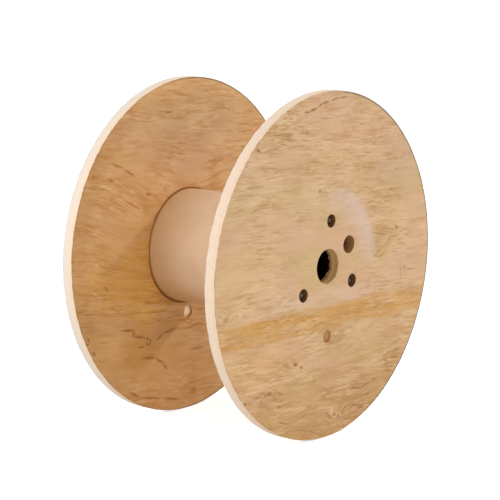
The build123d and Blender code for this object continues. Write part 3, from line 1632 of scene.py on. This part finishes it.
def near_veneer() -> SandedVeneer:
    """The right flange's outer face: pale birch, with a golden band below the holes."""
    knots = (
        Spot(-157, 184, 7.2, 3.2, 0.95, -25),
        Spot(-20, 110.5, 3.8, 3.2, 0.81),
        Spot(167, 34, 5.2, 2.9, 0.95, -30),
        Spot(165, 120, 3.8, 2.3, 0.74),
        Spot(179, -31, 3.2, 2.8, 0.81),
        Spot(188, -30, 2.8, 2.5, 0.81),
        Spot(-227, -39, 10.2, 6.5, 0.43),
        Spot(-50, 196, 7.2, 5.1, 0.34),
        Spot(-74, -129, 7.2, 3.5, 0.95, -5),
        Spot(-60, -136, 5.8, 2.9, 0.81, -20),
        Spot(-186, -164.5, 5.8, 3.2, 0.94),
        Spot(-132, -160, 7.2, 3.5, 0.95, 8),
        Spot(-112, -183, 7.2, 3.2, 0.68, -8),
        Spot(17, -220, 5.8, 4.3, 0.68),
        Spot(27, -225, 5.8, 4.3, 0.47),
    )
    lines = strokes(
        (2.0, 0.95, (-55, 226), (-42, 225.5)),
        (2.8, 0.95, (-42, 226.5), (-27, 229)),
        (2.6, 0.9, (-24, 230), (-15, 234), (0, 236)),
        (2.2, 0.75, (6, 237), (24, 238), (45, 238)),
        (1.2, 0.74, (-127, 201), (-90, 200)),
        (1.4, 0.74, (-107, 187), (-97, 186)),
        (1.2, 0.68, (-65, 189), (-42, 185.5)),
        (1.3, 0.54, (-167, 159), (-107, 155)),
        (1.6, 0.61, (100, 35), (150, 24)),
        (1.9, 0.47, (106, 24), (104, 10), (110, 0), (116, -2)),
        (2.0, 0.54, (150, 22), (146, 16)),
        (1.7, 0.54, (115, -2), (130, 9)),
        (1.5, 0.41, (126, -6), (145, 4)),
        (1.3, 0.47, (179.5, -34), (179.5, -50)),
        (1.3, 0.61, (190, -34), (220, -37)),
        (1.3, 0.74, (-155, -163), (-138, -161)),
        (1.3, 0.68, (-125, -156), (-112, -156)),
        (2.0, 0.68, (-112, -205), (-92, -212)),
        (1.6, 0.61, (-70, -225), (-45, -232), (-28, -239)),
        (1.4, 0.81, (150, -162), (176, -165)),
        (1.6, 0.68, (165, -152), (176, -153)),
        (1.8, 0.74, (52, -189), (80, -194), (108, -189), (122, -186)),
        (1.6, 0.68, (87, -207), (106, -204)),
        (1.8, 0.74, (37, -225), (39, -217), (48, -214.5), (90, -220)),
    )
    return SandedVeneer(
        "sanded_birch_veneer_outer_right",
        seed=1.7,
        slope_deg=-4.0,
        fineness=0.95,
        stirs=(
            Spot(0, -5, 130, 110, -0.65, 0, 0.45),
            Spot(-225, 60, 80, 85, -0.55),
            Spot(215, 75, 60, 55, -0.55),
            Spot(205, -15, 55, 55, -0.6),
            Spot(-235, -110, 45, 35, -0.4),
            Spot(-110, 215, 90, 45, 0.8),
            Spot(-140, -150, 90, 40, 0.7),
            Spot(110, -215, 80, 45, 0.1),
            Spot(115, 50, 50, 40, 0.5),
            Spot(165, -165, 60, 40, 0.4),
            Spot(0, -74, 260, 14, 0.4),
        ),
        bends=(
            Spot(-157, 184, 26, 10, 5.0),
            Spot(167, 34, 30, 12, 5.0),
            Spot(122, 14, 40, 22, 12.0, -15),
            Spot(182, -31, 28, 12, -6.0),
            Spot(-70, -132, 36, 14, 7.0),
            Spot(-130, -160, 40, 14, -6.0),
            Spot(-227, -39, 26, 12, 6.0),
            Spot(25, -222, 34, 18, 9.0),
            Spot(0, 0, 85, 80, 6.0, 0, 0.4),
        ),
        marks=(*knots, *lines),
        tints=(
            Tint("DCBDAA", (Spot(20, -40, 60, 12, 0.35, -6), Spot(60, -52, 60, 8, 0.45, -3))),
            Tint("D5AC86", (Spot(200, 30, 55, 50, 0.6), Spot(190, -20, 50, 30, 0.5))),
            Tint("CDAA86", (Spot(165, 135, 95, 80, 0.85),)),
            Tint("E2BA88", (Spot(-185, 0, 110, 90, 0.7),)),
            Tint("DCBB8F", (Spot(-175, 125, 100, 70, 0.75), Spot(-30, 105, 130, 42, 0.5))),
            Tint("E0C0A2", (Spot(-45, -43, 100, 18, 0.6, -2),)),
            Tint("DFB078", (Spot(-160, -118, 120, 60, 0.75),)),
            Tint("BA8A52", (Spot(50, -215, 90, 45, 0.7),)),
            Tint("CB9860", (Spot(175, -105, 85, 40, 0.55),)),
            Tint("E2CCBC", (Spot(-110, -42, 75, 16, 0.15, -2), Spot(108, -44, 60, 14, 0.2, -2))),
        ),
        bands=(
            ColourBand("DCB28A", -102.0, 11.0, -0.035, 0.55),
            ColourBand("CF974A", -74.0, 16.0, -0.028, 1.0),
        ),
        rings=(
            RingMark("DCC0B0", 95.0, 25.0, 0.42, 42.0, 0.5, 0.95),
            RingMark("E0C8BC", 104.0, 13.0, 0.22, 38.0, 0.6, 0.97),
            # Painted shade: a dark arc along the right edge of the face, where its arris lies in
            # shade
            RingMark("7C6A54", 250.0, 4.2, 0.9, 8.0, 0.05, 0.45),
        ),
    )


def far_veneer() -> SandedVeneer:
    """The left flange's inner face: a warmer sheet with strong wavy figure."""
    return SandedVeneer(
        "sanded_birch_veneer_inner_left",
        seed=8.3,
        base="D8AB70",
        rosy="DAAC7C",
        olive="D3A66C",
        early_wood="E6BF8C",
        late_wood="B87C2A",
        vessel="8D5616",
        knot="9C6822",
        foot="CC985A",
        slope_deg=-7.0,
        fineness=0.85,
        dark_dashes=0.15,
        pale_dashes=0.65,
        foot_figure=1.0,
        swing_mm=12.0,
        stirs=(
            Spot(-200, -110, 80, 45, -0.45),
            Spot(-150, 5, 90, 55, -0.3),
            Spot(-90, 165, 130, 50, -0.35),
            Spot(-30, -170, 100, 45, -0.3),
            Spot(-105, -150, 150, 70, -0.55),
            Spot(-225, -55, 45, 25, 0.4),
            Spot(-215, 110, 50, 45, 0.3),
        ),
        bends=(
            Spot(-25, 28, 215, 125, 30.0, 0, 0.3),
            Spot(-88, -133, 40, 20, 8.0),
            Spot(-60, -170, 50, 24, -8.0),
            Spot(-165, 140, 50, 24, 5.0),
            Spot(60, 200, 80, 30, -8.0),
        ),
        marks=strokes(
            (2.9, 0.66, (-165, 142), (-140, 131), (-115, 117)),
            (3.1, 0.70, (-205, 131), (-201, 123)),
            (3.5, 0.70, (-172, 119), (-162, 115)),
            (2.6, 0.84, (-48, 203), (-32, 202)),
            (3.9, 0.70, (-92, 88), (-80, 86)),
            (1.9, 0.32, (-245, -66), (-137, -82), (-12, -99)),
            (3.1, 0.84, (-148, -105), (-120, -110), (-125, -118), (-96, -125), (-88, -130)),
            (2.6, 0.95, (-94, -133), (-88, -138), (-83, -134), (-87, -129)),
            (2.6, 0.70, (-112, -137), (-97, -138)),
            (3.5, 0.84, (-70, -133), (-57, -126), (-29, -123)),
            (2.6, 0.62, (-7, -128), (35, -124)),
            (3.0, 0.70, (4, -161), (35, -164)),
            (3.5, 0.84, (-101, -155), (-73, -160), (-57, -172), (-48, -182)),
            (3.1, 0.84, (-134, -200), (-107, -214), (-60, -224), (-20, -234)),
            (3.9, 0.70, (5, -225), (18, -226)),
            (3.6, 0.42, (-184, -32), (-173, -43)),
            (3.5, 0.95, (-220, -104), (-217, -110)),
            (3.9, 0.95, (-209, -126), (-205, -132)),
        ),
        tints=(
            # Painted shade: a warm golden patch in the barrel's shadow, along its edge
            Tint(
                "DEAB5A",
                (
                    Spot(-140, -52, 130, 42, 0.8, -8, 0.5),
                    Spot(-120, -22, 95, 38, 0.85, 34, 0.6),
                ),
            ),
            # Painted light: a lighter patch in the barrel's shadow beside the tube
            Tint("EABA5E", (Spot(-88, -74, 55, 50, 0.85),)),
            Tint("E6BB7C", (Spot(-185, -140, 75, 55, 0.8), Spot(-130, -170, 50, 40, 0.6))),
            Tint("CF9F62", (Spot(-50, -145, 90, 60, 0.7),)),
            Tint("CE9A48", (Spot(-112, -148, 62, 50, 0.65),)),
            Tint("BC9E78", (Spot(0, 180, 190, 75, 0.66),)),
            Tint("D3A987", (Spot(20, 130, 130, 60, 0.6),)),
            Tint("D9B289", (Spot(-200, 65, 60, 55, 0.6), Spot(-115, 180, 80, 50, 0.8))),
        ),
        bands=(ColourBand("E3B87E", -90.0, 3.2, -0.13, 0.9),),
        rings=(
            RingMark("A8763C", 250.0, 42.0, 0.26, 170.0, 0.3, 0.9),
            RingMark("7A5020", 250.0, 2.4, 0.25),
            # Painted shade: a dark arc along the right edge of the face, where its arris lies in
            # shade
            RingMark("7C6446", 250.0, 3.4, 0.75, 0.0, -0.25, 0.1),
            # Painted shade: dark arcs at the upper and lower left of the groove, which widen the
            # shaded gap round the barrel
            RingMark("5C3A1A", 86.6, 2.2, 0.8, -128.0, 0.55, 0.92),
            RingMark("6A4422", 86.6, 1.8, 0.6, 128.0, 0.6, 0.95),
        ),
    )


def plain_veneer(name: str, seed: float, slope_deg: float) -> SandedVeneer:
    """A veneer face that the photograph doesn't show, of the same birch.

    Args:
        name: The finish's name.
        seed: A number that sets its figure apart from the others.
        slope_deg: The grain's slope against +Y.

    Returns:
        The finish.
    """
    draw = np.random.default_rng(int(seed * 10))
    bends, marks = [], []
    for _ in range(9):
        angle, reach = draw.uniform(0, 360), 225 * math.sqrt(draw.uniform(0.16, 1))
        y, z = on_circle(float(reach), float(angle))
        size = float(draw.uniform(1.6, 3.2))
        marks.append(Spot(y, z, 1.5 * size, size, float(draw.uniform(0.4, 0.8))))
        bends.append(Spot(y, z, 14 * size, 5 * size, float(draw.uniform(-9, 9))))
    return SandedVeneer(
        name, seed=seed, slope_deg=slope_deg, bends=tuple(bends), marks=tuple(marks)
    )


def cut_finishes(side: FlangeSide) -> dict[PlySurface, Finish]:
    """The finishes of a flange's cut surfaces.

    Args:
        side: The flange.

    Returns:
        The finish of each sawn, bored or routed surface.
    """
    rims = {
        FlangeSide.RIGHT: SawnPlies(
            "sawn_plywood_rim_right",
            seed=4.0,
            long_grain="E3CCB0",
            end_grain="DBC0AD",
            pale_share=0.3,
        ),
        # Painted light: the outer half of the left rim is painted paler, for the light from behind
        # the drum
        FlangeSide.LEFT: SawnPlies(
            "sawn_plywood_rim_left_painted_light",
            seed=4.0,
            pale="DAD0C4",
            pale_from_mm=15.0,
            pale_to_mm=5.0,
            pale_share=0.85,
        ),
    }
    walls = {
        FlangeSide.RIGHT: SawnPlies(
            "bored_plywood_wall",
            seed=9.0,
            long_grain="EAC690",
            end_grain="E0B47E",
            glue="94683A",
            face_edge="C48E52",
            face_edge_mm=5.5,
            least_edge_share=0.6,
            contrast=0.7,
        ),
        # Painted light and shade: a paler copy of the bored wall, for the light that reaches the
        # left flange's holes from behind, with face edges painted dark as the shade at their
        # mouths
        FlangeSide.LEFT: SawnPlies(
            "bored_plywood_wall_left",
            seed=9.0,
            long_grain="FCE2B8",
            end_grain="F8D8AA",
            glue="A87A48",
            face_edge="925C2C",
            face_edge_mm=3.8,
            least_edge_share=0.75,
            contrast=0.7,
        ),
    }
    return {
        PlySurface.SAWN_RIM: rims[side],
        PlySurface.BORED_WALL: walls[side],
        # Painted shade: the drive hole's wall is a darker copy of the bored wall, for the shade
        # deep in the hole
        PlySurface.SHADED_DRIVE_WALL: SawnPlies(
            "bored_plywood_drive_wall_painted_shade",
            seed=9.0,
            long_grain="BE9462",
            end_grain="B08250",
            glue="744C26",
            face_edge="A87442",
            face_edge_mm=3.5,
            least_edge_share=0.5,
            contrast=0.7,
        ),
        PlySurface.ROUTED_GROOVE: SawnPlies(
            "routed_groove_browned_by_the_cutter",
            seed=12.0,
            long_grain="F0B868",
            end_grain="E4A858",
            glue="B4742C",
            face_edge="CC8A38",
            face_edge_mm=1.5,
            least_edge_share=0.6,
        ),
        # Painted shade: the recess walls are a much darker copy of the bored wall, for the shade
        # in the recesses
        PlySurface.BOLT_RECESS: SawnPlies(
            "bolt_recess_painted_shade",
            seed=15.0,
            long_grain="A07A4C",
            end_grain="7A5430",
            glue="3A220C",
            face_edge="70491F",
            face_edge_mm=3.0,
            least_edge_share=0.5,
            contrast=0.8,
        ),
    }


def main() -> None:
    """Build the drum's pieces in order, report each, and set up the studio round them."""
    logging.basicConfig(level=logging.INFO, format="%(message)s")
    outer, inner = PlySurface.OUTER_VENEER, PlySurface.INNER_VENEER
    faces = {
        FlangeSide.RIGHT: {
            outer: near_veneer(),
            inner: plain_veneer("sanded_birch_veneer_inner_right", 5.9, 4.0),
        },
        FlangeSide.LEFT: {
            outer: plain_veneer("sanded_birch_veneer_outer_left", 2.6, -3.0),
            inner: far_veneer(),
        },
    }
    # The core board on the tube's ends and inside is near black: partly the board's own darker
    # stock, and partly painted shade for the closed-in inside of the barrel
    shaded_core_board = WoundKraftBoard(
        "wound_core_board_painted_shade",
        skin="241B13",
        cloud="1D160F",
        seam="16110C",
        flange_shade="241B13",
        underside_shade="1D160F",
        stained="1D160F",
        seam_pitch_mm=150.0,
    )
    zinc = DullZinc("dull_zinc_plated_steel")
    hexagon_turns_deg = (12.0, 41.0, 25.0)
    drum = [
        *(PlywoodFlange(side, {**faces[side], **cut_finishes(side)}) for side in FlangeSide),
        BarrelTube(WoundKraftBoard("wound_kraft_board"), shaded_core_board),
        *(
            TieBolt(number, angle, turn, zinc)
            for number, (angle, turn) in enumerate(
                zip(SIZES.bolt_angles_deg, hexagon_turns_deg), start=1
            )
        ),
    ]
    for part in drum:
        for piece in part.build():
            log.info("%s: %d faces", piece.name, len(piece.data.polygons))
    Studio().build()
    log.info("studio: camera, floor, surroundings and %d lamps", len(Studio.lamps))


if __name__ == "__main__":
    main()
